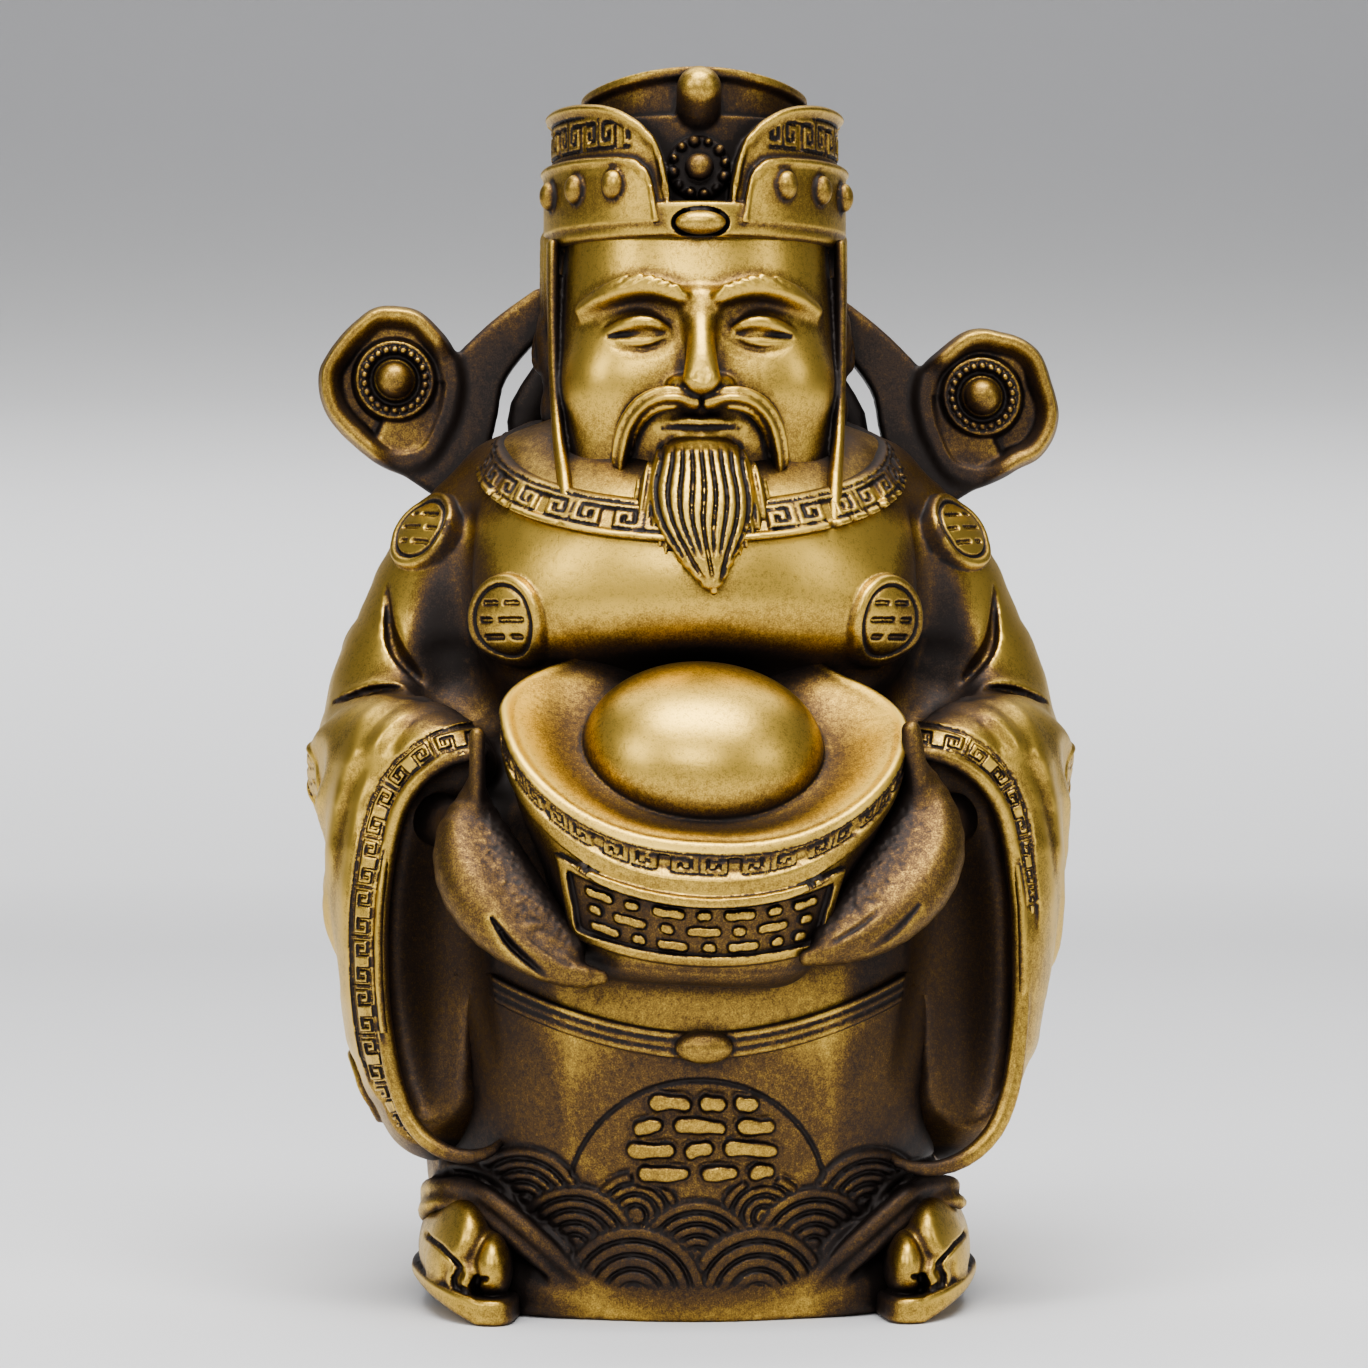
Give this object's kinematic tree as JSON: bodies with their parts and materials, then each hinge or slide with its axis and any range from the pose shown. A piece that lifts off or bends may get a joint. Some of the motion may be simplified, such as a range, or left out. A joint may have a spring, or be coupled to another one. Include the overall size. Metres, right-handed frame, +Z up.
{
  "type": "caishen figure",
  "caption": "Small cast metal figure of a bearded robed official in a winged cap, holding a boat-shaped ingot; stands on its flat underside.",
  "frame": {"origin": "middle of the flat underside, under the centre of the bounding box", "axes": "+Z up through the figure, the figure faces -Y, +X is towards the viewer's right when its face is seen from the front"},
  "size_m": [0.097, 0.0809, 0.1522],
  "materials": {
    "cast_brass": "satin"
  },
  "bodies": {
    "root": {"caishen_figure": "cast_brass"}
  },
  "joints": []
}
